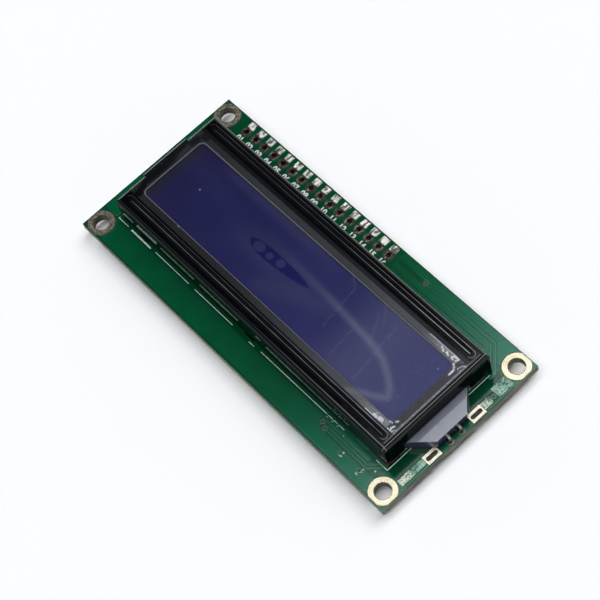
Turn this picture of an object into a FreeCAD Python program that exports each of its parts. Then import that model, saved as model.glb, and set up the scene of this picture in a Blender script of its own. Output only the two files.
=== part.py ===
import FreeCAD, Part
import math
import os

# Character display module, 16 positions by 2 lines, with an edge-lit backlight.
# Millimetres. The origin is the centre of the four mounting holes on the board's front face.
# +X runs along the board towards the backlight lamp, +Y towards the header edge, +Z out of the display.

V = FreeCAD.Vector

# Display cell: a front glass on a narrower rear glass, with a polariser outside each
glass_length = 68.4
glass_width = 22.2
glass_thickness = 1.1
cell_gap = 0.05
seal_width = 1.0
seal_inset = 0.4
polariser_thickness = 0.2
polariser_inset_x = 0.8       # from the rear glass's ends
polariser_inset_y = 0.3       # from the rear glass's sides

# Contact strips under the front glass's overhang, and the board's contact fingers below them
strip_width = 1.9
strip_inset = 0.1             # from the side of the front glass
strip_to_rear_glass = 0.4
strip_end_inset = 2.2         # from the end of the front glass
contact_pitch = 1.15
contact_width = 0.6
contact_end = 0.1             # bare strip at each end of a contact finger

# Bezel: one pressed steel sheet that fits round the cell
gauge = 0.5
cell_clearance_x = 0.45
cell_clearance_y = 0.4
bend_radius = 1.15            # outside radius of the bends between the face and the walls
window_overlap_x = 1.0        # sheet over the polariser's ends
window_overlap_y = 1.3        # sheet over the polariser's sides
window_corner = 1.0
window_edge_slope = 0.28      # the face is drawn down at the window's edge, where it was pierced
window_shift = -0.35
groove_from_bend = 0.85       # from a groove's centre line to where the long wall's bend begins
groove_end_inset = 1.75
groove_radius = 0.5
groove_depth = 0.34
groove_taper = 0.6            # length of the taper at each end of a groove
groove_shoulder = 0.18        # rounding where the groove leaves the face
seam_width = 0.12             # open seam at the corners between the folded walls
flap_width = 10.2             # middle flap of the far end wall, which stands proud
flap_proud = 0.5
foot_relief_near = 2.7        # shallow step in the lamp end wall's foot, from the bezel's -Y side
foot_relief_far = 1.3         # and from its +Y side
foot_relief_height = 0.8

# Retention tabs: each drops from a long wall through a board slot and is twisted behind the board
tab_end_inset = 6.15
tab_count = 3
tab_width = 2.2
tab_reach = 1.7               # how far a tab stands behind the board
tab_twist = 38.0
tab_twist_share = 0.6         # share of that reach over which it turns
tab_twist_steps = 3
tab_clearance = 0.15

# Circuit board, which shows all round the bezel, and its mounting holes
board_margin_x = 4.85
board_margin_y = 6.0
board_thickness = 1.6
mount_inset = 2.5
mount_hole_diameter = 3.0
mount_land_diameter = 5.1
land_clearance = 0.1          # ring of bare laminate between a land and its drilled hole
edge_margin = 0.2             # bare laminate between any land and the board's edge
land_thickness = 0.05         # copper and tin that stand on the laminate
plating = 0.05                # copper and tin on the wall of a plated hole

# Header holes along the board's edge, in line with the mounting holes
header_count = 16
header_pitch = 2.54
header_inset_x = 8.0          # from the board's far end to the first hole
header_hole_diameter = 1.0
header_ring_diameter = 1.9
finger_width = 1.6            # tinned finger from the ring to the board's edge
finger_end_margin = 0.3
tin_crown = 0.16              # height of the tin that hot-air levelling leaves on a finger
tin_slope = 0.9               # share of that height that the tin's sloping sides take up
back_pad_diameter = 2.0

# Flat sides of small round work, of the mounting lands and of the domes
hole_sides = 12
land_sides = 24
dome_sides = 24

# Closer than this, two heights count as the same
same_height = 0.001

# Backlight: acrylic light guide with a tongue that reaches out past the bezel to the lamp
backlight_y = -0.4
guide_inset_x = 0.8           # from the glass's far end
guide_inset_y = 0.7           # from the rear glass's sides
guide_step = 0.94             # from the tongue's top up to the top under the display
guide_slope_length = 2.0
tongue_setback = 1.15         # the tongue starts this far inside the lamp end wall
tongue_tip_width = 6.8
film_thickness = 0.12
film_trim = 0.5               # how far the white film stops short of the tongue's edge
film_ear_length = 2.3         # the white film widens and shows under the end wall's foot
film_ear_inset = 0.25         # from the end wall's face
guide_opening_clearance = 0.35
pocket_clearance = 0.05

# Lamp in the tongue's end, and its leads, pads and solder
lamp_width = 4.4
lamp_depth = 1.6
lamp_height = 1.5
lamp_lift = 0.35              # acrylic below the lamp
lamp_cover = 0.48             # acrylic above the lamp
lead_pitch = 2.54
lead_size = 0.45              # square wire
lead_corner = 0.3
lead_tail = 0.7               # beyond the board's back face
lead_hole_diameter = 0.8
lead_pad_diameter = 1.6
lead_pad_margin = 0.15        # from the board's end
solder_height = 0.55
solder_grip = 0.08            # solder left round the lead at the top
solder_waist = 0.3            # share of its spread that the solder keeps at its waist
solder_waist_height = 0.4     # share of its height at which the waist lies
solder_spread_front = 0.04    # the foot reaches this far beyond the top
solder_spread_back = 0.35
solder_to_tongue = 0.01

# Two plated slots, one on each side of the tongue's tip
slot_pad_inset = 1.2
slot_pad_length = 2.9
slot_pad_width = 1.85
slot_length = 2.5
slot_width = 0.85
slot_gap = 1.75               # from the side of the tongue's tip to a slot's centre

# Protective film on the face of the bezel, between the grooves
cover_end_inset = 0.75
cover_groove_gap = 1.5        # from the film's side to a groove's centre line
cover_x = -0.2
cover_y = -0.38
cover_thickness = 0.08
cover_corner = 0.3

# Chip-on-board domes behind the board
dome_diameter = 13.5
dome_height = 1.35
dome_rim = 0.35
dome_steps = 4
dome_places = ((-14.5, -1.5), (15.5, -1.5))

# Chip resistors and capacitors behind the board
chip_length = 2.0
chip_width = 1.25
resistor_height = 0.5
capacitor_height = 0.95
cap_length = 0.4              # end cap of a chip
cap_wall = 0.05
chip_pad_length = 1.1
chip_pad_overlap = 0.45
resistor_places = ((-30.0, 4.0), (-30.0, 0.5), (-30.0, -3.0), (30.5, 4.0), (30.5, 0.5))
capacitor_places = ((0.5, 6.0), (0.5, -7.0))

# The cell's plan
rear_glass_width = glass_width - 2 * (strip_inset + strip_width + strip_to_rear_glass)
polariser_length = glass_length - 2 * polariser_inset_x
polariser_width = rear_glass_width - 2 * polariser_inset_y
strip_length = glass_length - 2 * strip_end_inset
strip_y = glass_width / 2 - strip_inset - strip_width / 2

# The bezel's plan, round the cell
bezel_length = glass_length + 2 * (cell_clearance_x + gauge)
bezel_width = glass_width + 2 * (cell_clearance_y + gauge)
window_length = polariser_length - 2 * window_overlap_x
window_width = polariser_width - 2 * window_overlap_y
groove_y = bezel_width / 2 - bend_radius - groove_from_bend
groove_length = bezel_length - 2 * groove_end_inset
foot_relief_width = bezel_width - foot_relief_near - foot_relief_far
foot_relief_y = (foot_relief_near - foot_relief_far) / 2

# The board's plan, round the bezel
board_length = bezel_length + 2 * board_margin_x
board_width = bezel_width + 2 * board_margin_y
board_back = -board_thickness
mount_x = board_length / 2 - mount_inset
mount_y = board_width / 2 - mount_inset
header_first_x = header_inset_x - board_length / 2
lead_x = board_length / 2 - lead_pad_margin - lead_pad_diameter / 2
solder_top = lead_size * math.sqrt(0.5) + solder_grip
slot_pad_x = board_length / 2 - slot_pad_inset
slot_pitch = tongue_tip_width + 2 * slot_gap

# The light guide's plan
guide_width = rear_glass_width - 2 * guide_inset_y
guide_far_x = guide_inset_x - glass_length / 2
tongue_tip_x = lead_x - solder_top - solder_spread_front - solder_to_tongue
tongue_start_x = bezel_length / 2 - tongue_setback

# The display stack, counted up from the board to the grooves that bear on the glass
guide_bottom = film_thickness
lamp_floor = guide_bottom + lamp_lift
tongue_top = lamp_floor + lamp_height + lamp_cover
guide_top = tongue_top + guide_step
rear_polariser_underside = guide_top + film_thickness
rear_glass_underside = rear_polariser_underside + polariser_thickness
rear_glass_top = rear_glass_underside + glass_thickness
glass_underside = rear_glass_top + cell_gap
glass_top = glass_underside + glass_thickness
bezel_height = glass_top + groove_depth + gauge


def block(length, width, height, x=0.0, y=0.0, z=0.0):
    """A box centred on x and y, standing on z."""
    return Part.makeBox(length, width, height, V(x - length / 2, y - width / 2, z))


def disc(diameter, height, x=0.0, y=0.0, z=0.0):
    return Part.makeCylinder(diameter / 2, height, V(x, y, z))


def polygon_points(diameter, sides, x, y):
    """Corners of a regular polygon on a circle, with a flat side facing +X."""
    radius = diameter / 2
    turns = [2 * math.pi * (i + 0.5) / sides for i in range(sides)]
    return [(x + radius * math.cos(turn), y + radius * math.sin(turn)) for turn in turns]


def at_height(points, z):
    return [V(x, y, z) for x, y in points]


def prism(points, height, z=0.0):
    """A prism on a closed outline of x, y points."""
    corners = at_height(points, z)
    return Part.Face(Part.makePolygon(corners + corners[:1])).extrude(V(0, 0, height))


def flat_sided_disc(diameter, height, x, y, z, sides=hole_sides):
    return prism(polygon_points(diameter, sides, x, y), height, z)


def rounded_plate(length, width, height, corner, x=0.0, y=0.0, z=0.0):
    """A plate with round corners, centred on x and y, standing on z."""
    plate = block(length, width, height, x, y, z)
    uprights = [edge for edge in plate.Edges if edge.BoundBox.ZLength > same_height]
    return plate.makeFillet(corner, uprights)


def obround(length, width, height, x, y, z):
    """A slot-shaped prism with flat-sided round ends, whose length runs along Y."""
    reach = (length - width) / 2
    points = []
    for px, py in polygon_points(width, hole_sides, 0, 0):
        points.append((x + px, y + py + math.copysign(reach, py)))
    return prism(points, height, z)


def skinned_bar(rings):
    """A solid through rings of corners, with two flat triangles between each pair of corners."""
    def facet(*corners):
        return Part.Face(Part.makePolygon(list(corners) + [corners[0]]))

    faces = [facet(*rings[0]), facet(*rings[-1])]
    for upper, lower in zip(rings, rings[1:]):
        for i in range(len(upper)):
            j = (i + 1) % len(upper)
            faces.append(facet(upper[i], upper[j], lower[j]))
            faces.append(facet(upper[i], lower[j], lower[i]))
    return Part.Solid(Part.Shell(faces)).removeSplitter()


def profile_along_y(points, width, y=0.0):
    """A bar whose closed x, z outline runs across the board, centred on y."""
    corners = [V(x, y - width / 2, z) for x, z in points]
    outline = Part.makePolygon(corners + corners[:1])
    return Part.Face(outline).extrude(V(0, width, 0))


def write(name, solids):
    """Writes one node: a single solid, or a group of separate ones."""
    shape = solids[0] if len(solids) == 1 else Part.makeCompound(solids)
    shape.exportStep("parts/" + name + ".step")


def header_xs():
    return [header_first_x + i * header_pitch for i in range(header_count)]


def mount_places():
    return [(sx * mount_x, sy * mount_y) for sx in (-1, 1) for sy in (-1, 1)]


def tab_places():
    """Centre of each tab in the middle of the long wall's sheet."""
    wall_y = (bezel_width - gauge) / 2
    first = tab_end_inset - bezel_length / 2
    pitch = -2 * first / (tab_count - 1)
    return [(first + i * pitch, side * wall_y) for i in range(tab_count) for side in (-1, 1)]


def lead_places():
    return [(lead_x, backlight_y + side * lead_pitch / 2) for side in (-1, 1)]


def slot_places():
    return [(slot_pad_x, backlight_y + side * slot_pitch / 2) for side in (-1, 1)]


def circuit_board():
    """Glass-fibre laminate with every drilled and routed hole."""
    board = block(board_length, board_width, board_thickness, z=board_back)
    holes = [disc(mount_hole_diameter, board_thickness, x, y, board_back) for x, y in mount_places()]
    header_drill = header_hole_diameter + 2 * plating
    holes += [flat_sided_disc(header_drill, board_thickness, x, mount_y, board_back) for x in header_xs()]
    lead_drill = lead_hole_diameter + 2 * plating
    holes += [flat_sided_disc(lead_drill, board_thickness, x, y, board_back) for x, y in lead_places()]
    slot = (slot_length + 2 * plating, slot_width + 2 * plating)
    holes += [obround(*slot, board_thickness, x, y, board_back) for x, y in slot_places()]
    slot_for_tab = (tab_width + 2 * tab_clearance, gauge + 2 * tab_clearance)
    holes += [block(*slot_for_tab, board_thickness, x, y, board_back) for x, y in tab_places()]
    return board.cut(holes)


def inside_margin(shape):
    """Keeps a land off the board's edges by the bare margin."""
    height = board_thickness + 4 * land_thickness
    length = board_length - 2 * edge_margin
    width = board_width - 2 * edge_margin
    return shape.common(block(length, width, height, z=board_back - 2 * land_thickness))


def mounting_land(x, y, z):
    """A tinned ring round a mounting hole, cut straight where it would pass the board's margin."""
    inner = mount_hole_diameter + 2 * land_clearance
    land = flat_sided_disc(mount_land_diameter, land_thickness, x, y, z, land_sides)
    return inside_margin(land.cut(flat_sided_disc(inner, land_thickness, x, y, z, land_sides)))


def header_pad(x):
    """A plated hole with a ring, a tinned finger to the board's edge in front and a round pad behind."""
    finger_start = mount_y + header_hole_diameter / 2
    finger_end = board_width / 2 - finger_end_margin
    finger_length = finger_end - finger_start
    finger_y = (finger_start + finger_end) / 2
    barrel = flat_sided_disc(header_hole_diameter + 2 * plating, board_thickness, x, mount_y, board_back)
    front = flat_sided_disc(header_ring_diameter, land_thickness, x, mount_y, 0)
    finger = block(finger_width, finger_length, land_thickness + tin_crown, x, finger_y)
    crown_edges = [edge for edge in finger.Edges if edge.BoundBox.ZMin > land_thickness]
    finger = finger.makeChamfer(tin_crown * tin_slope, crown_edges)
    back = flat_sided_disc(back_pad_diameter, land_thickness, x, mount_y, board_back - land_thickness)
    hole_height = board_thickness + 4 * land_thickness + tin_crown
    hole = flat_sided_disc(header_hole_diameter, hole_height, x, mount_y, board_back - 2 * land_thickness)
    return barrel.fuse([front, finger, back]).cut(hole).removeSplitter()


def slot_pad(x, y):
    """A rectangular tinned pad round a plated slot, on both faces."""
    sleeve = obround(slot_length + 2 * plating, slot_width + 2 * plating, board_thickness, x, y, board_back)
    front = block(slot_pad_width, slot_pad_length + 2 * plating, land_thickness, x, y)
    behind = board_back - land_thickness
    back = block(slot_pad_width, slot_pad_length + 2 * plating, land_thickness, x, y, behind)
    height = board_thickness + 2 * land_thickness
    opening = obround(slot_length, slot_width, height, x, y, behind)
    return sleeve.fuse([front, back]).cut(opening).removeSplitter()


def lead_pad(x, y):
    """A plated hole with a round pad on both faces."""
    barrel = flat_sided_disc(lead_hole_diameter + 2 * plating, board_thickness, x, y, board_back)
    front = flat_sided_disc(lead_pad_diameter, land_thickness, x, y, 0)
    back = flat_sided_disc(lead_pad_diameter, land_thickness, x, y, board_back - land_thickness)
    height = board_thickness + 2 * land_thickness
    opening = flat_sided_disc(lead_hole_diameter, height, x, y, board_back - land_thickness)
    return barrel.fuse([front, back]).cut(opening).removeSplitter()


def arched_prism(run, span, height, radius, along_x, centre=0.0):
    """A bar with a flat foot and two rounded upper edges, centred on its run."""
    half = span / 2
    arc_reach = radius * math.sqrt(0.5)
    if along_x:
        def point(s, z):
            return V(-run / 2, s, z)
        direction = V(run, 0, 0)
    else:
        def point(s, z):
            return V(s + centre, -run / 2, z)
        direction = V(0, run, 0)
    shoulder = height - radius
    left = Part.Arc(
        point(-half, shoulder),
        point(-half + radius - arc_reach, shoulder + arc_reach),
        point(-half + radius, height),
    ).toShape()
    right = Part.Arc(
        point(half - radius, height),
        point(half - radius + arc_reach, shoulder + arc_reach),
        point(half, shoulder),
    ).toShape()
    foot = Part.makeLine(point(half, 0), point(-half, 0))
    left_wall = Part.makeLine(point(-half, 0), point(-half, shoulder))
    face_line = Part.makeLine(point(-half + radius, height), point(half - radius, height))
    right_wall = Part.makeLine(point(half, shoulder), point(half, 0))
    outline = Part.Wire([left_wall, left, face_line, right, right_wall, foot])
    return Part.Face(outline).extrude(direction)


def folded_shell(length, centre=0.0):
    """Open-bottomed tray of sheet: the outer form less the inner one, both with rounded bends."""
    spare = 4 * gauge
    outer = arched_prism(length + spare, bezel_width, bezel_height, bend_radius, True)
    outer = outer.common(arched_prism(bezel_width + spare, length, bezel_height, bend_radius, False, centre))
    inner_radius = bend_radius - gauge
    inner_height = bezel_height - gauge
    inner = arched_prism(length + spare, bezel_width - 2 * gauge, inner_height, inner_radius, True)
    inner_span = length - 2 * gauge
    inner = inner.common(arched_prism(bezel_width, inner_span, inner_height, inner_radius, False, centre))
    return outer.cut(inner)


def groove_form(radius, y):
    """A round bar with tapered ends that lies along X above the bezel's face."""
    half_run = groove_length / 2 - groove_taper
    taper = groove_taper * radius / groove_radius
    z = bezel_height + groove_radius - groove_depth
    bar = Part.makeCylinder(radius, 2 * half_run, V(-half_run, y, z), V(1, 0, 0))
    ends = [Part.makeCone(radius, 0, taper, V(side * half_run, y, z), V(side, 0, 0)) for side in (-1, 1)]
    return bar.fuse(ends)


def edges_on_face(body):
    """Edges that lie in the plane of the bezel's face."""
    edges = []
    for edge in body.Edges:
        box = edge.BoundBox
        if abs(box.ZMin - bezel_height) < same_height and abs(box.ZMax - bezel_height) < same_height:
            edges.append(edge)
    return edges


def round_groove_shoulders(body):
    """Rounds the long lips of each groove where they meet the flat face."""
    lips = []
    for edge in edges_on_face(body):
        near_groove = abs(abs(edge.CenterOfMass.y) - groove_y) < groove_radius
        if near_groove and edge.Length > groove_length / 2:
            lips.append(edge)
    return body.makeFillet(groove_shoulder, lips)


def pierce_window(body):
    """Cuts the window and slopes its upper edge, as the punch draws the face down."""
    outline = (window_length, window_width, gauge, window_corner)
    body = body.cut(rounded_plate(*outline, 0, window_shift, bezel_height - gauge))
    reach_x = window_length / 2 + same_height
    reach_y = window_width / 2 + same_height
    edges = []
    for edge in edges_on_face(body):
        box = edge.BoundBox
        inside_x = -reach_x < box.XMin and box.XMax < reach_x
        inside_y = window_shift - reach_y < box.YMin and box.YMax < window_shift + reach_y
        if inside_x and inside_y:
            edges.append(edge)
    return body.makeChamfer(window_edge_slope, edges)


def retention_tab(x, y):
    """A shank through the board and a blade whose sections turn about the shank's own axis."""
    half_width = tab_width / 2
    half_gauge = gauge / 2
    twist_depth = tab_reach * tab_twist_share
    side = 1 if y > 0 else -1

    def section(depth):
        share = min(max(depth / twist_depth, 0), 1)
        turn = math.radians(side * tab_twist * share)
        corners = []
        for sign_a, sign_b in ((-1, -1), (1, -1), (1, 1), (-1, 1)):
            a = sign_a * half_width
            b = sign_b * half_gauge
            turned_x = a * math.cos(turn) - b * math.sin(turn)
            turned_y = a * math.sin(turn) + b * math.cos(turn)
            corners.append(V(x + turned_x, y + turned_y, board_back - depth))
        return corners

    depths = [twist_depth * i / tab_twist_steps for i in range(tab_twist_steps + 1)]
    rings = [section(-board_thickness)] + [section(depth) for depth in depths] + [section(tab_reach)]
    return skinned_bar(rings)


def tongue_width_at(x):
    """The tongue narrows at 45 degrees to its tip, and is never wider than the guide."""
    return min(guide_width, tongue_tip_width + 2 * (tongue_tip_x - x))


def bezel():
    """Pressed, pierced and folded steel sheet with a window, two grooves and twisted tabs."""
    body = folded_shell(bezel_length)

    # The middle flap of the far wall is slit free at its sides and folded further out
    longer = folded_shell(bezel_length + flap_proud, -flap_proud / 2)
    slab_length = bend_radius + flap_proud
    slab_x = -bezel_length / 2 - flap_proud + slab_length / 2
    slab = block(slab_length, flap_width, bezel_height, slab_x)
    body = body.cut(slab).fuse(longer.common(slab))
    slit_height = bezel_height - bend_radius / 2
    for side in (-1, 1):
        body = body.cut(block(2 * slab_length, seam_width, slit_height, slab_x, side * flap_width / 2))

    # Each groove is pressed down in the face and stands out as a rib under it
    face_room = block(bezel_length, bezel_width, bezel_height)
    ribs = [groove_form(groove_radius + gauge, side * groove_y).common(face_room) for side in (-1, 1)]
    body = body.fuse(ribs).removeSplitter()
    body = body.cut([groove_form(groove_radius, side * groove_y) for side in (-1, 1)])
    body = pierce_window(round_groove_shoulders(body))

    # The lamp end wall opens for the tongue, and its foot is stepped for the white film
    wall_x = bezel_length / 2 - gauge / 2
    inside_x = bezel_length / 2 - gauge
    opening_width = tongue_width_at(inside_x) + 2 * guide_opening_clearance
    opening_height = tongue_top + film_thickness + guide_opening_clearance
    body = body.cut(block(2 * gauge, opening_width, opening_height, wall_x, backlight_y))
    body = body.cut(block(2 * gauge, foot_relief_width, foot_relief_height, wall_x, foot_relief_y))

    # The end walls are folded up between the long walls and leave a fine seam at each corner
    seam_y = bezel_width / 2 - gauge - seam_width / 2
    seam_height = bezel_height - bend_radius
    seams = [(side_x * wall_x, side_y * seam_y) for side_x in (-1, 1) for side_y in (-1, 1)]
    body = body.cut([block(2 * gauge, seam_width, seam_height, x, y) for x, y in seams])

    return body.fuse([retention_tab(x, y) for x, y in tab_places()]).removeSplitter()


def guide_outline(trim=0.0):
    """Plan of the light guide: a wide slab whose lamp end narrows at 45 degrees."""
    wide = guide_width / 2
    tip = tongue_tip_width / 2
    tip_x = tongue_tip_x - trim
    half = ((guide_far_x, wide), (tip_x - (wide - tip), wide), (tip_x, tip))
    points = [(x, backlight_y + y) for x, y in half]
    points += [(x, backlight_y - y) for x, y in reversed(half)]
    return points


def lamp_pocket(clearance):
    """The lamp's outline, or the room for it in the tongue's end."""
    length = lamp_depth + clearance
    width = lamp_width + 2 * clearance
    height = lamp_height + 2 * clearance
    return block(length, width, height, tongue_tip_x - length / 2, backlight_y, lamp_floor - clearance)


def light_guide():
    """Clear acrylic slab, thick under the display and stepped down to the tongue."""
    slope_x = tongue_start_x - guide_slope_length
    side = (
        (guide_far_x, guide_bottom),
        (tongue_tip_x, guide_bottom),
        (tongue_tip_x, tongue_top),
        (tongue_start_x, tongue_top),
        (slope_x, guide_top),
        (guide_far_x, guide_top),
    )
    slab = profile_along_y(side, guide_width, backlight_y)
    slab = slab.common(prism(guide_outline(), bezel_height))
    return slab.cut(lamp_pocket(pocket_clearance))


def diffuser_film():
    """Matt film laid over the guide, down its slope and out to the tongue's tip."""
    slope_x = tongue_start_x - guide_slope_length
    tongue = ((tongue_tip_x, tongue_top), (tongue_start_x, tongue_top))
    top = tongue + ((slope_x, guide_top), (guide_far_x, guide_top))
    lifted = [(x, z + film_thickness) for x, z in reversed(top)]
    sheet = profile_along_y(list(top) + lifted, guide_width, backlight_y)
    return sheet.common(prism(guide_outline(), bezel_height))


def reflector_film():
    """White film between the guide and the board, with a wide ear under the lamp end wall."""
    ear_x = bezel_length / 2 - film_ear_inset - film_ear_length / 2
    ear_width = foot_relief_width - 2 * film_thickness
    ear = block(film_ear_length, ear_width, film_thickness, ear_x, foot_relief_y)
    return prism(guide_outline(film_trim), film_thickness).fuse(ear).removeSplitter()


def lamp_lead(x, y):
    """A square wire moulded into the lamp, which leaves it level and bends down through the board."""
    half = lead_size / 2
    level = lamp_floor + lamp_height / 2
    root_x = tongue_tip_x - lamp_depth / 2
    side = (
        (root_x, level - half),
        (x - half, level - half),
        (x - half, board_back - lead_tail),
        (x + half, board_back - lead_tail),
        (x + half, level + half - lead_corner),
        (x + half - lead_corner, level + half),
        (root_x, level + half),
    )
    return profile_along_y(side, lead_size, y)


def solder_joint(x, y, z, spread, rise):
    """Solder that climbs the lead from its pad, with a hollow flank in two slopes."""
    foot = solder_top + spread
    waist = solder_top + spread * solder_waist
    levels = ((foot, 0), (waist, rise * solder_waist_height), (solder_top, rise))
    rings = [at_height(polygon_points(2 * r, hole_sides, x, y), z + height) for r, height in levels]
    low = min(z, z + rise)
    return skinned_bar(rings).cut(block(lead_size, lead_size, abs(rise), x, y, low))


def resin_dome(x, y):
    """A shallow cap of resin that has flowed over a chip and set with a low upright rim."""
    half = dome_diameter / 2
    rise = dome_height - dome_rim
    sphere_radius = (half * half + rise * rise) / (2 * rise)
    centre_depth = dome_height - sphere_radius
    widest = math.asin(half / sphere_radius)
    levels = [(half, 0)]
    for i in range(dome_steps):
        lean = widest * (dome_steps - i) / dome_steps
        levels.append((sphere_radius * math.sin(lean), centre_depth + sphere_radius * math.cos(lean)))
    rings = [at_height(polygon_points(2 * r, dome_sides, x, y), board_back - depth) for r, depth in levels]
    return skinned_bar(rings)


def chip_body(x, y, height):
    """Ceramic middle of a chip part, between its end caps, on its pads."""
    length = chip_length - 2 * cap_wall
    width = chip_width - 2 * cap_wall
    return block(length, width, height - cap_wall, x, y, board_back - land_thickness - height)


def chip_caps(x, y, height):
    """Two tinned end caps that wrap a chip part's ends."""
    body = chip_body(x, y, height)
    low = board_back - land_thickness - height - cap_wall
    reach = (chip_length - cap_length) / 2
    caps = [block(cap_length, chip_width, height + cap_wall, x + side * reach, y, low) for side in (-1, 1)]
    return [cap.cut(body) for cap in caps]


def chip_pads(x, y):
    """Two tinned pads that a chip part's caps stand on."""
    reach = chip_length / 2 + chip_pad_length / 2 - chip_pad_overlap
    low = board_back - land_thickness
    return [block(chip_pad_length, chip_width, land_thickness, x + side * reach, y, low) for side in (-1, 1)]


def contact_fingers(side):
    """Row of tinned contacts under one contact strip."""
    count = int(strip_length / contact_pitch)
    first = -contact_pitch * (count - 1) / 2
    length = strip_width - 2 * contact_end
    xs = [first + i * contact_pitch for i in range(count)]
    return [block(contact_width, length, land_thickness, x, side * strip_y) for x in xs]


def contact_strip(side):
    """Rubber strip pressed between the board's contacts and the underside of the front glass."""
    height = glass_underside - land_thickness
    return block(strip_length, strip_width, height, 0, side * strip_y, land_thickness)


def cell_seal():
    """Thin frame of adhesive that joins the two glasses round their edge."""
    outer_length = glass_length - 2 * seal_inset
    outer_width = rear_glass_width - 2 * seal_inset
    inner_length = outer_length - 2 * seal_width
    inner_width = outer_width - 2 * seal_width
    outer = block(outer_length, outer_width, cell_gap, z=rear_glass_top)
    return outer.cut(block(inner_length, inner_width, cell_gap, z=rear_glass_top))


def protective_film():
    """Clear film stuck on the bezel's face between the two grooves."""
    length = bezel_length - 2 * cover_end_inset
    width = 2 * (groove_y - cover_groove_gap)
    return rounded_plate(length, width, cover_thickness, cover_corner, cover_x, cover_y, bezel_height)


def main():
    os.makedirs("parts", exist_ok=True)
    pads_behind = board_back - land_thickness

    write("circuit_board", [circuit_board()])
    write("mounting_lands_front", [mounting_land(x, y, 0) for x, y in mount_places()])
    write("mounting_lands_back", [mounting_land(x, y, pads_behind) for x, y in mount_places()])
    write("header_pads", [header_pad(x) for x in header_xs()])
    write("slot_pads", [slot_pad(x, y) for x, y in slot_places()])
    write("lead_pads", [lead_pad(x, y) for x, y in lead_places()])
    write("contact_fingers_upper", contact_fingers(1))
    write("contact_fingers_lower", contact_fingers(-1))

    write("reflector_film", [reflector_film()])
    write("light_guide", [light_guide()])
    write("diffuser_film", [diffuser_film()])
    leads = [lamp_lead(x, y) for x, y in lead_places()]
    write("backlight_lamp", [lamp_pocket(0.0).cut(leads)])
    write("lamp_leads", leads)
    front = (land_thickness, solder_spread_front, solder_height)
    back = (pads_behind, solder_spread_back, -solder_height)
    write("lead_solder_front", [solder_joint(x, y, *front) for x, y in lead_places()])
    write("lead_solder_back", [solder_joint(x, y, *back) for x, y in lead_places()])

    write("contact_strip_upper", [contact_strip(1)])
    write("contact_strip_lower", [contact_strip(-1)])
    polariser = (polariser_length, polariser_width, polariser_thickness)
    write("rear_polariser", [block(*polariser, z=rear_polariser_underside)])
    write("rear_glass", [block(glass_length, rear_glass_width, glass_thickness, z=rear_glass_underside)])
    write("cell_seal", [cell_seal()])
    write("front_glass", [block(glass_length, glass_width, glass_thickness, z=glass_underside)])
    write("front_polariser", [block(*polariser, z=glass_top)])
    write("bezel", [bezel()])
    write("protective_film", [protective_film()])

    for name, (x, y) in zip(("controller_dome", "driver_dome"), dome_places):
        write(name, [resin_dome(x, y)])
    write("resistor_bodies", [chip_body(x, y, resistor_height) for x, y in resistor_places])
    write("resistor_caps", [cap for x, y in resistor_places for cap in chip_caps(x, y, resistor_height)])
    write("capacitor_bodies", [chip_body(x, y, capacitor_height) for x, y in capacitor_places])
    write("capacitor_caps", [cap for x, y in capacitor_places for cap in chip_caps(x, y, capacitor_height)])
    write("chip_pads", [pad for x, y in resistor_places + capacitor_places for pad in chip_pads(x, y)])


main()
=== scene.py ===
import math

import bpy
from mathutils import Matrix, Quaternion, Vector
from mathutils import noise as ripple


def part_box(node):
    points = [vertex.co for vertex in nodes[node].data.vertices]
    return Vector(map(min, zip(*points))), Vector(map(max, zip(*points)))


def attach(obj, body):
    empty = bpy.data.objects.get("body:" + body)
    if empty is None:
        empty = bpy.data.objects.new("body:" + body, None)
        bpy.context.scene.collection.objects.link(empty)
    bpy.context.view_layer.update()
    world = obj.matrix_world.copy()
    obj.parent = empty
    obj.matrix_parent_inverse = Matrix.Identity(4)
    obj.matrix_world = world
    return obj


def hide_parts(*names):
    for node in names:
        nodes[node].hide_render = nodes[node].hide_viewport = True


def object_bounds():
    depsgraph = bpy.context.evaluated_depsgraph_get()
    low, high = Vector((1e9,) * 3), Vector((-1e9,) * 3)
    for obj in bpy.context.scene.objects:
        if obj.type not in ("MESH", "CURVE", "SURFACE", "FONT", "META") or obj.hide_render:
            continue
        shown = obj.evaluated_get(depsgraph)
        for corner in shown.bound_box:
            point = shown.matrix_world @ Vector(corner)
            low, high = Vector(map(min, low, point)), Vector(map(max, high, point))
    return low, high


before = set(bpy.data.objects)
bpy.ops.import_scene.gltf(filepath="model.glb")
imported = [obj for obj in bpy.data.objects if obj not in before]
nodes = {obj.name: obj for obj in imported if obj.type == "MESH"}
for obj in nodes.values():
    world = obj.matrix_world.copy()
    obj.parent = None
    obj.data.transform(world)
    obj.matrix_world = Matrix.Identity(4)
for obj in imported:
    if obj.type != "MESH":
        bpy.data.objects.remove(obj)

cad_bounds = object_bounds()


# Circuit board
# A blank of green glass-fibre laminate, routed to size and drilled. Both faces carry
# a coat of green solder mask, and the sawn edge shows the bare resin and glass.
MM = 0.001
MASK_GLOSS = 0.11
SAWN_ROUGHNESS = 0.75
# Span of painted light that lightens the mask towards the lamp end
LAMP_END_LIGHT = (12, 36)
SHADED_FROM = 35.0
DULL_FROM = 37.6
SHADE_BLEND = 0.4
SHADE_SIDE = (12.8, 12.3)
SHADE_END = (39.2, 38.8)


def tint(red, green, blue):
    """A colour on the 0 to 255 scale of a screen, as the linear value that a shader takes."""
    def linear(level):
        share = level / 255
        return share / 12.92 if share <= 0.04045 else ((share + 0.055) / 1.055) ** 2.4
    return (linear(red), linear(green), linear(blue), 1.0)


def shader_of(finish):
    return finish.node_tree.nodes["Principled BSDF"]


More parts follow.
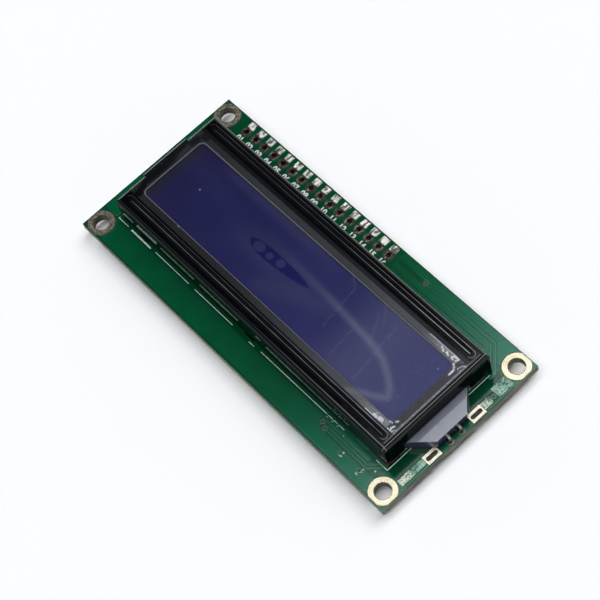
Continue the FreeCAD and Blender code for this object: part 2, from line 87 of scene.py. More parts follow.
def new_finish(name, colour, roughness, **settings):
    """A material whose constant values are set on its shader."""
    finish = bpy.data.materials.new(name)
    finish.use_nodes = True
    shader = shader_of(finish)
    shader.inputs["Base Color"].default_value = colour
    shader.inputs["Roughness"].default_value = roughness
    for socket, value in settings.items():
        shader.inputs[socket.replace("_", " ")].default_value = value
    return finish


def wire(finish, output, target):
    finish.node_tree.links.new(output, target)


def feed(finish, socket, output):
    """Wires an output into one socket of the finish's shader."""
    wire(finish, output, shader_of(finish).inputs[socket])


def add_node(finish, kind, sources=None, **settings):
    """Adds a node, sets its sockets or options by name and wires in its sources."""
    made = finish.node_tree.nodes.new(kind)
    for name, value in settings.items():
        socket = name.replace("_", " ")
        if socket in made.inputs:
            made.inputs[socket].default_value = value
        else:
            setattr(made, name, value)
    for socket, output in (sources or {}).items():
        wire(finish, output, made.inputs[socket])
    return made


def piece_point(finish):
    """The point being shaded, in the part's own frame."""
    return add_node(finish, "ShaderNodeTexCoord").outputs["Object"]


def noise(finish, size, detail=2.0, stretch=(1, 1, 1)):
    """Soft noise whose blotches are about size millimetres across."""
    scaled = add_node(finish, "ShaderNodeVectorMath", {0: piece_point(finish)}, operation="MULTIPLY")
    scaled.inputs[1].default_value = stretch
    made = add_node(finish, "ShaderNodeTexNoise", {"Vector": scaled.outputs[0]}, Detail=detail)
    made.inputs["Scale"].default_value = 1 / (size * MM)
    return made.outputs["Fac"]


def ramp(finish, value, low, high, to_low=0.0, to_high=1.0):
    """Stretches the values from low to high over a new span, and holds them beyond it."""
    made = add_node(finish, "ShaderNodeMapRange", {"Value": value})
    for socket, number in (("From Min", low), ("From Max", high), ("To Min", to_low), ("To Max", to_high)):
        made.inputs[socket].default_value = number
    return made.outputs["Result"]


def combine(finish, first, second, operation="MULTIPLY"):
    """Joins two values, either of which may be a plain number."""
    made = add_node(finish, "ShaderNodeMath", operation=operation)
    for socket, value in zip(made.inputs, (first, second)):
        if isinstance(value, (int, float)):
            socket.default_value = value
        else:
            wire(finish, value, socket)
    return made.outputs[0]


def two_tone(finish, share, first, second):
    """A colour that runs from the first to the second with the share."""
    made = add_node(finish, "ShaderNodeMix", data_type="RGBA")
    wire(finish, share, made.inputs[0])
    for socket, colour in ((made.inputs[6], first), (made.inputs[7], second)):
        if isinstance(colour, tuple):
            socket.default_value = colour
        else:
            wire(finish, colour, socket)
    return made.outputs[2]


def absolute(finish, value):
    return combine(finish, value, 0.0, "ABSOLUTE")


def relief(finish, height, depth):
    """Bumps the surface by a height from 0 to 1 that stands for depth millimetres."""
    made = add_node(finish, "ShaderNodeBump", {"Height": height}, Distance=depth * MM)
    feed(finish, "Normal", made.outputs["Normal"])


def axis(finish, letter):
    """One coordinate of the point being shaded, in metres."""
    split = add_node(finish, "ShaderNodeSeparateXYZ", {"Vector": piece_point(finish)})
    return split.outputs[letter]


def ramp_mm(finish, place, low, high, to_low=0.0, to_high=1.0):
    """A ramp over a place in metres, with its ends given in millimetres."""
    return ramp(finish, place, low * MM, high * MM, to_low, to_high)


def along(finish, letter, low, high, to_low=0.0, to_high=1.0):
    """A ramp along one axis of the part, with its ends in millimetres."""
    return ramp_mm(finish, axis(finish, letter), low, high, to_low, to_high)


def facing_up(finish, low=0.4, high=0.6):
    """How far the surface faces up or down: 1 on the board's faces and 0 on its edges."""
    normal = add_node(finish, "ShaderNodeNewGeometry").outputs["Normal"]
    level = add_node(finish, "ShaderNodeSeparateXYZ", {"Vector": normal}).outputs["Z"]
    return ramp(finish, absolute(finish, level), low, high)


def mask_colour(finish, dark, light, lit_colour, size):
    """Solder mask that varies a little from place to place, with painted light that makes it lighter
    towards the lamp end.
    """
    mask = two_tone(finish, ramp(finish, noise(finish, size, 3), 0.35, 0.65), dark, light)
    return two_tone(finish, along(finish, "X", *LAMP_END_LIGHT), mask, lit_colour)


def shaded_strip(finish, start):
    """Share of the board from start to the lamp end's edge that lies in the shade of the bezel."""
    beside = ramp_mm(finish, absolute(finish, axis(finish, "Y")), *SHADE_SIDE)
    lengthwise = along(finish, "X", start, start + SHADE_BLEND)
    before_edge = along(finish, "X", *SHADE_END, 0.5, 1.0)
    return combine(finish, beside, combine(finish, lengthwise, before_edge))


def board_finish():
    finish = new_finish("board_mask_and_edge", tint(0, 64, 38), MASK_GLOSS)
    mask = mask_colour(finish, tint(0, 62, 36), tint(0, 68, 41), tint(0, 88, 60), 6)
    mask = two_tone(finish, shaded_strip(finish, SHADED_FROM), mask, tint(0, 55, 33))
    feed(finish, "Specular IOR Level", ramp(finish, shaded_strip(finish, DULL_FROM), 0, 1, 0.5, 0.06))
    layers = ramp(finish, noise(finish, 0.35, 2, (0.1, 0.1, 1.4)), 0.35, 0.65)
    edge = two_tone(finish, layers, tint(74, 70, 62), tint(126, 122, 110))
    faces = facing_up(finish)
    feed(finish, "Base Color", two_tone(finish, faces, edge, mask))
    feed(finish, "Roughness", ramp(finish, faces, 0, 1, SAWN_ROUGHNESS, MASK_GLOSS))
    relief(finish, noise(finish, 0.8, 3), 0.005)
    return finish


def dress(finish, *names):
    """Gives a finish to nodes that keep their own shape."""
    for name in names:
        mesh = nodes[name].data
        mesh.materials.clear()
        mesh.materials.append(finish)


dress(board_finish(), "circuit_board")


# Copper under the solder mask
# Etched copper that stands on the laminate with the mask drawn over it: the wide pours along
# the board's edges, the traces that run round the bezel's corners, and the plated vias.
COPPER_RISE = 0.07
COPPER_RIM = 0.05
POUR_EDGE = 17.62
# Span over which the rims of the masked copper carry painted highlights
RIM_HIGHLIGHTS = (6, 32)
LAND_X = 37.5
LAND_Y = 15.5
LAND_CLEARANCE = 2.72
VIA_RING = 0.48
VIA_DRILL = 0.24
VIA_MOAT = 0.64
VIA_RISE = 0.14
VIA_ROUNDING = 0.065
PLUG_RISE = 0.1
FLAT_RIM = 0.005
SPECK_RISE = 0.05
SPECK_SIDES = 9


def arc(x, y, radius, start, end, steps=18):
    """Points on a circle from one angle to another, in degrees."""
    turns = [math.radians(start + (end - start) * i / steps) for i in range(steps + 1)]
    return [(x + radius * math.cos(turn), y + radius * math.sin(turn)) for turn in turns]


def circle(x, y, radius, steps=28):
    return arc(x, y, radius, 0, 360, steps)[:-1]


def ribbon(points, width):
    """The outline of a strip that follows a line of points with mitred corners."""
    half = width / 2
    left = []
    right = []
    line = [Vector(point) for point in points]
    for i, point in enumerate(line):
        before = (point - line[i - 1]).normalized() if i > 0 else (line[1] - point).normalized()
        after = (line[i + 1] - point).normalized() if i < len(line) - 1 else before
        side = Vector((-before.y - after.y, before.x + after.x)).normalized()
        reach = half / max(side.dot(Vector((-before.y, before.x))), 0.5)
        left.append(tuple(point + side * reach))
        right.append(tuple(point - side * reach))
    return left + right[::-1]


def add_object(name, data):
    made = bpy.data.objects.new(name, data)
    bpy.context.scene.collection.objects.link(made)
    return made


def to_mesh_piece(source, name, finish):
    """Turns a curve or text object into a plain mesh piece that rides on the part."""
    bpy.context.view_layer.update()
    mesh = bpy.data.meshes.new_from_object(source.evaluated_get(bpy.context.evaluated_depsgraph_get()))
    mesh.transform(source.matrix_world)
    bpy.data.objects.remove(source)
    mesh_piece(mesh, name, finish)


def mesh_piece(mesh, name, finish):
    mesh.name = name
    mesh.materials.clear()
    mesh.materials.append(finish)
    piece = add_object(name, mesh)
    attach(piece, "root")
    return piece


def plate(name, outlines, low, high, rim, finish):
    """Thin plate filled between closed outlines in millimetres, with a round rim. Inner ones are holes."""
    curve = bpy.data.curves.new(name, "CURVE")
    curve.dimensions = "2D"
    curve.fill_mode = "BOTH"
    for outline in outlines:
        spline = curve.splines.new("POLY")
        spline.points.add(len(outline) - 1)
        for point, (x, y) in zip(spline.points, outline):
            point.co = (x * MM, y * MM, 0, 1)
        spline.use_cyclic_u = True
    curve.extrude = ((high - low) / 2 - rim) * MM
    curve.bevel_depth = rim * MM
    curve.bevel_resolution = 2
    curve.offset = -rim * MM
    source = add_object(name, curve)
    source.location.z = (low + high) / 2 * MM
    to_mesh_piece(source, name, finish)


def uneven_finish(name, colour, roughness, size, depth):
    """One colour on a surface that is slightly uneven."""
    finish = new_finish(name, colour, roughness)
    relief(finish, noise(finish, size), depth)
    return finish


def masked_copper_finish():
    """Mask a little lighter than on the bare board, with painted light towards the lamp end and painted
    highlights on its rims there.
    """
    finish = new_finish("mask_over_copper", tint(0, 76, 46), MASK_GLOSS)
    mask = mask_colour(finish, tint(0, 75, 45), tint(0, 80, 49), tint(2, 104, 78), 4)
    rim_slope = combine(finish, 1.0, facing_up(finish, 0.5, 0.97), "SUBTRACT")
    rim_highlight = combine(finish, rim_slope, along(finish, "X", *RIM_HIGHLIGHTS, 0.12, 1.0))
    feed(finish, "Base Color", two_tone(finish, rim_highlight, mask, tint(150, 204, 180)))
    relief(finish, noise(finish, 0.8, 3), 0.006)
    return finish


masked_copper = masked_copper_finish()


def copper(name, outline):
    plate(name, [outline], 0, COPPER_RISE, COPPER_RIM, masked_copper)


near_pour = arc(-LAND_X, -LAND_Y, LAND_CLEARANCE, 63, -50) + arc(LAND_X, -LAND_Y, LAND_CLEARANCE, 230, 174)
near_pour += [(21.9, -15.2), (20.2, -13.9), (20.2, -13.05)]
copper("near_copper_pour", near_pour)

copper("far_end_copper_pour", ribbon([(-38.0, -12.6), (-38.0, 12.6)], 3.2))

header_side_pour = [(8.0, 16.4), (14.4, 16.4), (14.7, 16.7), (15.3, 16.7), (15.6, 16.4), (31.94, 16.4)]
header_side_pour += [(35.0, 13.34)] + arc(LAND_X, LAND_Y, LAND_CLEARANCE, 220, 129)
header_side_pour += [(8.0, POUR_EDGE)]
copper("header_side_copper_pour", header_side_pour)

# Each trace has its line and its width
traces = {
    "lamp_trace_outer": ([(15.0, 15.92), (31.75, 15.92), (35.72, 11.95), (35.72, 10.7)], 0.5),
    "lamp_trace_inner": ([(8.2, 14.87), (31.3, 14.87), (34.25, 11.92), (34.25, 12.1)], 1.1),
    "bezel_side_pour": ([(8.4, 13.15), (31.4, 13.15)], 1.8),
    "near_trace_outer": ([(21.2, -13.95), (32.3, -13.95), (33.6, -12.65)], 0.34),
    "near_trace_inner": ([(22.3, -14.55), (32.6, -14.55), (34.5, -12.65)], 0.36),
    "near_edge_line": ([(32.0, -17.3), (34.6, -17.3)], 0.16),
    "lamp_end_trace": ([(39.62, 6.6), (39.62, 12.9)], 0.16),
    "lamp_end_return": ([(39.62, -12.6), (39.62, -7.2)], 0.14),
    "near_bezel_pour": ([(20.6, -13.15), (31.8, -13.15)], 0.7),
}
for name, (points, width) in traces.items():
    copper(name, ribbon(points, width))

via_places = ((15.0, 16.05), (21.1, -13.95), (22.3, -14.55), (27.4, -15.8), (31.95, -15.75), (38.6, 8.9))
via_outlines = []
moat_outlines = []
for x, y in via_places:
    via_outlines += [circle(x, y, VIA_RING), circle(x, y, VIA_DRILL)]
    moat_outlines += [circle(x, y, VIA_MOAT), circle(x, y, VIA_RING - 0.02)]
plate("via_rings", via_outlines, 0.0, VIA_RISE, VIA_ROUNDING, masked_copper)
via_dark = uneven_finish("via_plug", tint(2, 22, 15), 0.4, 0.1, 0.02)
plate("via_moats", moat_outlines, 0, COPPER_RISE + 0.012, FLAT_RIM, via_dark)
plug_outlines = [circle(x, y, VIA_DRILL + 0.03) for x, y in via_places]
plate("via_plugs", plug_outlines, 0, PLUG_RISE, FLAT_RIM, via_dark)

tab_slot_lip = ribbon([(27.6, -12.13), (30.4, -12.13)], 0.26)
plate("mask_lip_at_tab_slot", [tab_slot_lip], 0, 0.03, 0.01, masked_copper)

# Each speck has its place and its radius
solder_specks = uneven_finish("solder_specks", tint(206, 214, 200), 0.25, 0.12, 0.03)
speck_places = (
    (27.85, -15.4, 0.16), (27.95, -16.15, 0.15), (27.65, -16.2, 0.1), (32.4, -15.2, 0.14),
    (32.5, -15.7, 0.11), (32.2, -16.05, 0.12), (32.0, -16.5, 0.14), (32.3, -16.55, 0.09),
    (34.1, -14.0, 0.17), (21.0, -12.9, 0.09), (22.3, -12.85, 0.09), (23.5, -12.87, 0.09),
    (25.6, -13.35, 0.08), (37.4, 12.4, 0.1), (34.5, 12.3, 0.1))
speck_outlines = [circle(*place, SPECK_SIDES) for place in speck_places]
plate("solder_specks", speck_outlines, 0, COPPER_RISE + SPECK_RISE, 0.02, solder_specks)


# Copper behind the board
# Masked traces run from the header to the first chip, across to the second one, and out to
# vias under the contact strips. A ground pour lies between the lands of the plain side.
BOARD_BACK = -1.6
BACK_RISE = 0.06
BACK_VIA_RISE = 0.09
BACK_VIA = (0.42, 0.18)
BACK_WIDTH = 0.34
DOMES = ((-14.5, -1.5), (15.5, -1.5))
DOME_REACH = 7.3
CHIP_PITCH = 1.3
FAN_PITCH = 1.75
FAN_COUNT = 9
CROSSING_PITCH = 0.9
CROSSING_COUNT = 7
HEADER_FIRST_X = -32.0
HEADER_PITCH = 2.54
FIRST_HEADER_RUN = 3
HEADER_RUNS = 10


def back_plate(name, outlines, rise):
    plate(name, outlines, BOARD_BACK - rise, BOARD_BACK, rise * 0.45, masked_copper)


def ring_reach(offset):
    """How far the ring round a dome reaches to one side, at an offset across from its middle."""
    return math.sqrt(DOME_REACH ** 2 - offset ** 2)


header_runs = []
for i in range(HEADER_RUNS):
    from_x = HEADER_FIRST_X + (i + FIRST_HEADER_RUN) * HEADER_PITCH
    to_x = DOMES[0][0] + (i - (HEADER_RUNS - 1) / 2) * CHIP_PITCH
    turn_y = 13.4 - abs(from_x - to_x)
    end_y = DOMES[0][1] + ring_reach(to_x - DOMES[0][0])
    header_runs.append(ribbon([(from_x, 14.3), (from_x, 13.4), (to_x, turn_y), (to_x, end_y)], BACK_WIDTH))
back_plate("back_traces_from_header", header_runs, BACK_RISE)

crossing_runs = []
for i in range(CROSSING_COUNT):
    y = -4.2 + i * CROSSING_PITCH
    half = ring_reach(y - DOMES[0][1])
    crossing_runs.append(ribbon([(DOMES[0][0] + half, y), (DOMES[1][0] - half, y)], BACK_WIDTH))
back_plate("back_traces_between_chips", crossing_runs, BACK_RISE)

fan_runs = []
fan_vias = []
for (chip_x, chip_y), side in ((DOMES[0], -1), (DOMES[1], -1), (DOMES[1], 1)):
    for i in range(FAN_COUNT):
        place = i - FAN_COUNT // 2
        from_x = chip_x + place * CHIP_PITCH
        to_x = chip_x + place * FAN_PITCH
        start_y = chip_y + side * ring_reach(from_x - chip_x)
        turn_y = start_y + side * 0.6
        via_y = side * (9.2 if i % 2 else 10.4)
        run = [(from_x, start_y), (to_x, via_y)]
        if place:
            run[1:1] = [(from_x, turn_y), (to_x, turn_y + side * abs(to_x - from_x))]
        fan_runs.append(ribbon(run, BACK_WIDTH))
        fan_vias += [circle(to_x, via_y, radius, 20) for radius in BACK_VIA]
back_plate("back_traces_to_contacts", fan_runs, BACK_RISE)
back_plate("back_vias", fan_vias, BACK_VIA_RISE)

back_ground = arc(-LAND_X, -LAND_Y, LAND_CLEARANCE, 63, -50)
back_ground += arc(LAND_X, -LAND_Y, LAND_CLEARANCE, 230, 117)
back_plate("back_ground_pour", [back_ground], BACK_RISE)


# Wrinkled solder mask
# Over the copper at the lamp end the green mask has lifted into small folds, and it is pale in
# blotches. It lies in four strips beside the slots and the lands.
WRINKLE_STEP = 0.09
WRINKLE_FOOT = 0.01
WRINKLE_FOLD = 0.06
BORDER_UNEVEN = 0.5
BORDER_WIDTH = 0.3


def grid_faces(columns, rows):
    """The faces of a grid whose points are listed column by column."""
    faces = []
    for i in range(columns):
        for j in range(rows):
            corner = i * (rows + 1) + j
            beyond = corner + rows + 1
            faces.append((corner, beyond, beyond + 1, corner + 1))
    return faces


def smooth_mesh(name, points, faces):
    mesh = bpy.data.meshes.new(name)
    mesh.from_pydata(points, [], faces)
    mesh.polygons.foreach_set("use_smooth", [True] * len(faces))
    return mesh


def wrinkled_patch(name, x_span, y_span, finish):
    """A strip of wrinkled mask: a fine grid of small folds that dies out at an uneven border."""
    columns = round((x_span[1] - x_span[0]) / WRINKLE_STEP)
    rows = round((y_span[1] - y_span[0]) / WRINKLE_STEP)
    points = []
    for i in range(columns + 1):
        x = x_span[0] + (x_span[1] - x_span[0]) * i / columns
        for j in range(rows + 1):
            y = y_span[0] + (y_span[1] - y_span[0]) * j / rows
            inset = min(x - x_span[0], x_span[1] - x, y - y_span[0], y_span[1] - y)
            uneven = inset + BORDER_UNEVEN * ripple.noise(Vector((x * 1.3, y * 0.8, 5.0)))
            fold = 0.5 + 0.5 * ripple.noise(Vector((x * 3.1, y * 2.2, 2.0)))
            shoulder = min(max(uneven / BORDER_WIDTH, 0), 1)
            z = WRINKLE_FOOT + shoulder * (COPPER_RISE + WRINKLE_FOLD * fold)
            points.append((x * MM, y * MM, z * MM))
    mesh_piece(smooth_mesh(name, points, grid_faces(columns, rows)), name, finish)


def wrinkled_finish(name, palest, low, high):
    """Mask that is green with pale blotches."""
    finish = new_finish(name, palest, 0.25)
    drift = ramp(finish, noise(finish, 1.8, 2), 0.3, 0.7, -0.1, 0.1)
    blotches = combine(finish, noise(finish, 0.28, 3), drift, "ADD")
    share = ramp(finish, blotches, low, high)
    feed(finish, "Base Color", two_tone(finish, share, tint(8, 92, 64), palest))
    return finish


pale_wrinkles = wrinkled_finish("pale_wrinkled_mask", tint(214, 220, 202), 0.3, 0.62)
soft_wrinkles = wrinkled_finish("wrinkled_mask", tint(150, 188, 168), 0.36, 0.68)
wrinkled_patch("wrinkled_mask_near", (37.9, 39.25), (-12.7, -9.9), pale_wrinkles)
wrinkled_patch("wrinkled_mask_near_slot", (37.95, 39.2), (-10.2, -7.1), soft_wrinkles)
wrinkled_patch("wrinkled_mask_upper", (37.95, 39.3), (6.35, 8.35), pale_wrinkles)
wrinkled_patch("wrinkled_mask_by_land", (37.2, 39.4), (9.5, 12.9), soft_wrinkles)


# White legend ink
# Screen-printed ink on the mask: the dashes of the bezel's outline that show beside it, a row
# of plain pin numbers along the header holes, and a ring round each dome on the back.
INK_THICKNESS = 0.022
INK_RIM = 0.004
OUTLINE_WIDTH = 0.12
SMEAR_WIDTH = 0.3
HEADER_COUNT = 16
NUMBER_SIZE = 1.7
NUMBER_WEIGHT = 0.05
NUMBER_NARROWING = 0.92
NUMBER_BASE_Y = 13.12
RING_HALF_WIDTH = 0.1
RING_RISE = 0.03


def ink_finish():
    finish = new_finish("legend_ink", tint(226, 232, 226), 0.5)
    worn = ramp(finish, noise(finish, 0.25, 4), 0.3, 0.5)
    feed(finish, "Base Color", two_tone(finish, worn, tint(120, 150, 136), tint(226, 232, 228)))
    relief(finish, noise(finish, 0.15, 2), 0.01)
    return finish


ink = ink_finish()


def printed(name, outlines):
    """Ink laid level with the top of the masked copper."""
    plate(name, outlines, COPPER_RISE, COPPER_RISE + INK_THICKNESS, INK_RIM, ink)


outline_dashes = [
    [(-35.8, -12.3), (-35.8, -12.55), (-33.0, -12.55)],
    [(-25.3, -12.57), (-15.9, -12.6)],
    [(-14.3, -12.6), (-3.9, -12.6)],
    [(0.6, -12.75), (2.0, -12.75)],
    [(3.6, -12.6), (20.7, -12.55)],
    [(21.0, -12.55), (22.0, -12.55)],
    [(22.3, -12.55), (23.2, -12.55)],
    [(23.5, -12.55), (24.9, -12.55)],
    [(32.7, -12.5), (35.4, -12.5), (35.4, 11.2)],
]
printed("bezel_outline_ink", [ribbon(points, OUTLINE_WIDTH) for points in outline_dashes])
printed("bezel_outline_smear", [ribbon([(-32.1, -12.62), (-26.5, -12.68)], SMEAR_WIDTH)])

dome_rings = []
for x, y in DOMES:
    for radius in (DOME_REACH + RING_HALF_WIDTH, DOME_REACH - RING_HALF_WIDTH):
        dome_rings.append(circle(x, y, radius, 64))
plate("rings_round_domes", dome_rings, BOARD_BACK - BACK_RISE - RING_RISE, BOARD_BACK, INK_RIM, ink)


def printed_number(text, x, y):
    """A plain number, printed flat and centred on x."""
    lettering = bpy.data.curves.new("number", "FONT")
    lettering.body = text
    lettering.size = NUMBER_SIZE * MM
    lettering.align_x = "CENTER"
    lettering.offset = NUMBER_WEIGHT * MM
    lettering.extrude = INK_THICKNESS / 2 * MM
    source = add_object("number", lettering)
    source.location = (x * MM, y * MM, INK_THICKNESS / 2 * MM)
    source.scale.x = NUMBER_NARROWING
    return source


for i in range(HEADER_COUNT):
    number = printed_number("%02d" % (i + 1), HEADER_FIRST_X + i * HEADER_PITCH, NUMBER_BASE_Y)
    to_mesh_piece(number, "pin_number_" + str(i + 1), ink)


# Bare tinned copper
# Copper left free of the mask and levelled with hot tin: the lands round the mounting holes,
# the header pads and their fingers, and the pads of the slots and the chips.
HOLE_TOP = -0.03
FINGER_START = 0.7
FINGER_BLEND = 0.25
PAD_OPENING = (1.08, 0.92)
PAD_OPENING_RISE = 0.008
LAND_OPENING = 2.63
LAND_OPENING_WIDTH = 0.13
LAND_OPENING_RISE = 0.012
OPENING_RIM = 0.001


def tin_finish(name, dull, bright, roughness, bump_size, bump_depth):
    finish = new_finish(name, bright, roughness, Metallic=1.0)
    clouds = ramp(finish, noise(finish, 1.4, 4), 0.3, 0.7)
    feed(finish, "Base Color", two_tone(finish, clouds, dull, bright))
    rough = ramp(finish, noise(finish, 0.5, 3), 0.3, 0.7, roughness - 0.08, roughness + 0.1)
    feed(finish, "Roughness", rough)
    relief(finish, noise(finish, bump_size, 3), bump_depth)
    return finish


def bare_inside(finish, tin, inside):
    """Colours the walls of plated holes, which lie below the board's face, apart from the tin on it."""
    outside = along(finish, "Z", HOLE_TOP, 0)
    feed(finish, "Base Color", two_tone(finish, outside, inside, tin))
    feed(finish, "Metallic", outside)


def header_tin_finish():
    finish = new_finish("header_tin", tint(226, 224, 216), 0.24, Metallic=1.0)
    streaks = ramp(finish, noise(finish, 0.8, 3, (1.5, 0.6, 1)), 0.42, 0.58)
    finger_tin = two_tone(finish, streaks, tint(84, 84, 76), tint(236, 234, 226))
    finger = along(finish, "Y", LAND_Y + FINGER_START, LAND_Y + FINGER_START + FINGER_BLEND)
    # The flat tin round each hole is painted dark, as a painted dark reflection; the fingers beyond keep
    # bright tin
    bare_inside(finish, two_tone(finish, finger, tint(84, 78, 70), finger_tin), tint(60, 46, 40))
    feed(finish, "Metallic", ramp(finish, finger, 0, 1, 0.7, 0.25))
    relief(finish, noise(finish, 0.9, 2, (1, 0.6, 1)), 0.16)
    return finish


def pad_finish():
    finish = tin_finish("pad_tin", tint(206, 196, 170), tint(232, 224, 202), 0.3, 0.8, 0.004)
    clouds = ramp(finish, noise(finish, 0.9, 4), 0.35, 0.65)
    cream = two_tone(finish, clouds, tint(214, 204, 178), tint(236, 229, 208))
    bare_inside(finish, cream, tint(104, 84, 76))
    feed(finish, "Metallic", along(finish, "Z", HOLE_TOP, 0, 0.0, 0.35))
    return finish


def land_finish():
    finish = tin_finish("land_tin", tint(200, 192, 166), tint(236, 230, 208), 0.26, 1.2, 0.003)
    shader_of(finish).inputs["Metallic"].default_value = 0.7
    clouds = ramp(finish, noise(finish, 1.1, 4), 0.3, 0.7)
    # Painted light: the far lands are painted darker and the near ones lighter, along the board's length
    far = two_tone(finish, clouds, tint(112, 104, 92), tint(156, 148, 130))
    near = two_tone(finish, clouds, tint(196, 184, 152), tint(222, 214, 188))
    feed(finish, "Base Color", two_tone(finish, along(finish, "X", -30, 20), far, near))
    return finish


pad_tin = pad_finish()
dress(land_finish(), "mounting_lands_front", "mounting_lands_back")
dress(header_tin_finish(), "header_pads")
dress(pad_tin, "slot_pads", "chip_pads", "contact_fingers_upper", "contact_fingers_lower")

bare_ring = uneven_finish("bare_laminate_ring", tint(20, 36, 26), 0.5, 0.2, 0.01)
ring_outlines = []
for i in range(HEADER_COUNT):
    ring_outlines += [circle(HEADER_FIRST_X + i * HEADER_PITCH, LAND_Y, radius) for radius in PAD_OPENING]
plate("header_mask_openings", ring_outlines, 0, PAD_OPENING_RISE, OPENING_RIM, bare_ring)

end_names = {-1: "far", 1: "lamp"}
side_names = {-1: "plain", 1: "header"}
inner_side_of_land = arc(LAND_X, LAND_Y, LAND_OPENING, 122, 328, 40)
for side_x, side_y in ((-1, -1), (-1, 1), (1, -1), (1, 1)):
    name = "land_mask_opening_" + end_names[side_x] + "_" + side_names[side_y]
    outline = ribbon([(side_x * x, side_y * y) for x, y in inner_side_of_land], LAND_OPENING_WIDTH)
    plate(name, [outline], 0, LAND_OPENING_RISE, OPENING_RIM, bare_ring)


# Backlight
# A clear acrylic slab that carries the lamp's light under the display. White film lies below it,
# a matt film on top, and the small lamp sits in its tongue with two leads soldered to the board.
def acrylic_finish():
    finish = new_finish("acrylic_guide", tint(22, 26, 58), 0.3, IOR=1.49)
    depth = ramp(finish, noise(finish, 1.2, 2), 0.3, 0.7)
    feed(finish, "Base Color", two_tone(finish, depth, tint(16, 18, 46), tint(34, 38, 76)))
    return finish


def diffuser_finish():
    finish = new_finish("matt_diffuser_film", tint(118, 122, 133), 0.07, Specular_IOR_Level=1.0)
    clouds = ramp(finish, noise(finish, 2.5, 3), 0.3, 0.7)
    feed(finish, "Base Color", two_tone(finish, clouds, tint(112, 116, 127), tint(124, 128, 138)))
    relief(finish, noise(finish, 0.3, 2), 0.0008)
    return finish


dress(uneven_finish("white_reflector_film", tint(196, 200, 204), 0.45, 0.8, 0.01), "reflector_film")
dress(acrylic_finish(), "light_guide")
dress(diffuser_finish(), "diffuser_film")
dress(uneven_finish("lamp_resin", tint(30, 32, 56), 0.25, 0.3, 0.01), "backlight_lamp")
lead_wire = tin_finish("lead_wire", tint(176, 172, 164), tint(236, 234, 228), 0.16, 0.6, 0.01)
dress(lead_wire, "lamp_leads")
# The solder and the lead pads are painted dark, as a painted dark reflection of the bezel's wall
solder = tin_finish("solder", tint(52, 60, 52), tint(104, 106, 98), 0.22, 0.5, 0.02)
dress(solder, "lead_solder_front", "lead_solder_back", "lead_pads")


# Display cell
# Two sheets of glass sealed at their edge with the liquid crystal between them, a polariser
# outside each, and a rubber contact strip along each long side that joins it to the board.
# Span of painted light on the polariser, paler towards the lamp end
POLARISER_LAMP_LIGHT = (-30, 32)
SHADED_END = (-32.4, -29.4)


def polariser_finish():
    """Deep blue film with painted light that makes it a little paler towards the lamp end, and painted
    shadow at the far end.
    """
    finish = new_finish("blue_polariser", tint(16, 14, 66), 0.2, Specular_IOR_Level=0.05)
    clouds = ramp(finish, noise(finish, 9, 3), 0.35, 0.65, -0.1, 0.1)
    painted_light = combine(finish, along(finish, "X", *POLARISER_LAMP_LIGHT), clouds, "ADD")
    blue = two_tone(finish, painted_light, tint(14, 13, 62), tint(30, 33, 90))
    feed(finish, "Base Color", two_tone(finish, along(finish, "X", *SHADED_END), tint(20, 20, 36), blue))
    relief(finish, noise(finish, 3, 2), 0.004)
    return finish


def glass_finish():
    finish = new_finish("cell_glass", tint(190, 206, 208), 0.04, IOR=1.52, Transmission_Weight=0.9)
    relief(finish, noise(finish, 8, 1), 0.004)
    return finish


def rubber_finish():
    finish = new_finish("contact_rubber", tint(196, 150, 150), 0.6)
    bands = ramp(finish, noise(finish, 0.3, 1, (1, 0.05, 0.05)), 0.45, 0.55)
    feed(finish, "Base Color", two_tone(finish, bands, tint(40, 38, 40), tint(190, 160, 158)))
    return finish


dress(polariser_finish(), "front_polariser", "rear_polariser")
dress(glass_finish(), "front_glass", "rear_glass", "cell_seal")
dress(rubber_finish(), "contact_strip_upper", "contact_strip_lower")


# Bezel
# One pressed steel sheet with a window, two stiffening grooves and folded walls, held by tabs
# that are twisted behind the board. It is coated with glossy black lacquer.
GROOVE_Y = 10.0
GROOVE_HALF = (32.7, 0.03)
GROOVE_RIM_HALF = (33.75, 0.72)
GROOVE_MIDDLE_BLEND = 0.1
GROOVE_END = (32.8, 33.4)
WINDOW_Y = -0.35
WINDOW_HALF = (32.5, 7.2)
WINDOW_CORNER = 1.1
LAMP_BEND_X = 34.65
PLAIN_BEND_Y = -11.42
LIGHT_RISE = (0, 32)
TOP_FROM = (5.9, 6.1)


def outline_distance(finish, middle_y, half_x, half_y, corner):
    """Distance to a rounded rectangle on the face, and to its mirror twin where middle_y is above 0."""
    across = axis(finish, "Y")
    if middle_y > 0:
        across = absolute(finish, across)
    across = absolute(finish, combine(finish, across, middle_y * MM, "SUBTRACT"))
    lengthwise = absolute(finish, axis(finish, "X"))
    past_x = combine(finish, lengthwise, (half_x - corner) * MM, "SUBTRACT")
    past_y = combine(finish, across, (half_y - corner) * MM, "SUBTRACT")
    square_x = combine(finish, combine(finish, past_x, 0.0, "MAXIMUM"), 2.0, "POWER")
    square_y = combine(finish, combine(finish, past_y, 0.0, "MAXIMUM"), 2.0, "POWER")
    outside = combine(finish, combine(finish, square_x, square_y, "ADD"), 0.5, "POWER")
    inside = combine(finish, combine(finish, past_x, past_y, "MAXIMUM"), 0.0, "MINIMUM")
    return combine(finish, combine(finish, outside, inside, "ADD"), corner * MM, "SUBTRACT")


def line_share(finish, distance, half_width):
    """1 on a line and 0 beside it."""
    return ramp_mm(finish, absolute(finish, distance), half_width * 0.5, half_width, 1.0, 0.0)


